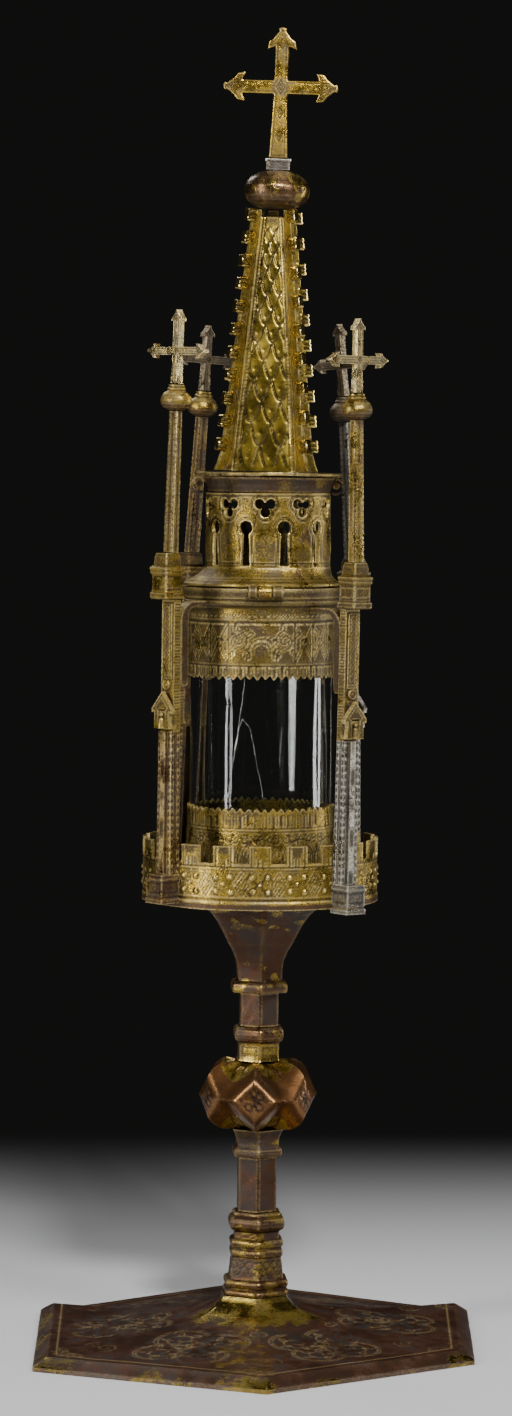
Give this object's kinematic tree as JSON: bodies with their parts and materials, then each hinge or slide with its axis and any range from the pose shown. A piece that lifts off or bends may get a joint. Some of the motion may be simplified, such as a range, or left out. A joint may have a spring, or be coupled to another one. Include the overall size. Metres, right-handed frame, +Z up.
{
  "type": "reliquary",
  "caption": "Gilt copper tower reliquary: hexagonal foot, knopped stem, crenellated gallery, glass cylinder between pinnacled buttresses, hinged lid with crocketed spire and cross.",
  "frame": {"origin": "centre of the foot's underside, on the surface it stands on", "axes": "+Z up; -Y is the front, the side with the lid's hinge; +X is to the right seen from the front"},
  "size_m": [0.1504, 0.1728, 0.4499],
  "materials": {
    "foot": "worn gilt copper, satin",
    "stem": "worn gilt copper, satin",
    "gilding": "engraved gilding, satin",
    "pale_gilding": "pale rubbed gilding, satin",
    "bare_copper": "tarnished copper, satin",
    "glass": "clear blown glass"
  },
  "bodies": {
    "root": {"foot": "foot", "lower_collar": "stem", "lower_shaft": "stem", "lower_cup": "stem", "knop": "stem", "upper_cup": "stem", "upper_shaft": "stem", "calyx": "gilding", "gallery": "gilding", "lower_mount": "gilding", "glass_cylinder": "glass", "upper_mount": "gilding", "hinge_pin": "bare_copper", "buttress_front_left": "gilding", "buttress_front_right": "gilding", "buttress_back_right": "gilding", "buttress_back_left": "gilding", "capital_front_left": "gilding", "capital_front_right": "gilding", "capital_back_right": "gilding", "capital_back_left": "gilding", "pinnacle_shaft_front_left": "bare_copper", "pinnacle_shaft_front_right": "bare_copper", "pinnacle_shaft_back_right": "bare_copper", "pinnacle_shaft_back_left": "bare_copper", "pinnacle_ball_front_left": "gilding", "pinnacle_ball_front_right": "gilding", "pinnacle_ball_back_right": "gilding", "pinnacle_ball_back_left": "gilding", "pinnacle_cross_front_left": "pale_gilding", "pinnacle_cross_front_right": "pale_gilding", "pinnacle_cross_back_right": "pale_gilding", "pinnacle_cross_back_left": "pale_gilding", "bracket_front_left": "bare_copper", "bracket_front_right": "bare_copper", "bracket_back_right": "bare_copper", "bracket_back_left": "bare_copper"},
    "lid": {"lid_lantern": "gilding", "lid_collar": "bare_copper", "lid_plate": "gilding", "spire": "gilding", "spire_rib_1": "gilding", "spire_rib_2": "gilding", "spire_rib_3": "gilding", "spire_rib_4": "gilding", "finial_ball": "gilding", "finial_socket": "pale_gilding", "finial_cross": "gilding"}
  },
  "joints": [
    {"name": "lid_hinge", "type": "hinge", "parent": "root", "child": "lid", "pos_m": [0.00272, -0.0294, 0.25679], "axis": [1, 0, -0.0063], "range_deg": [0, 110]}
  ]
}
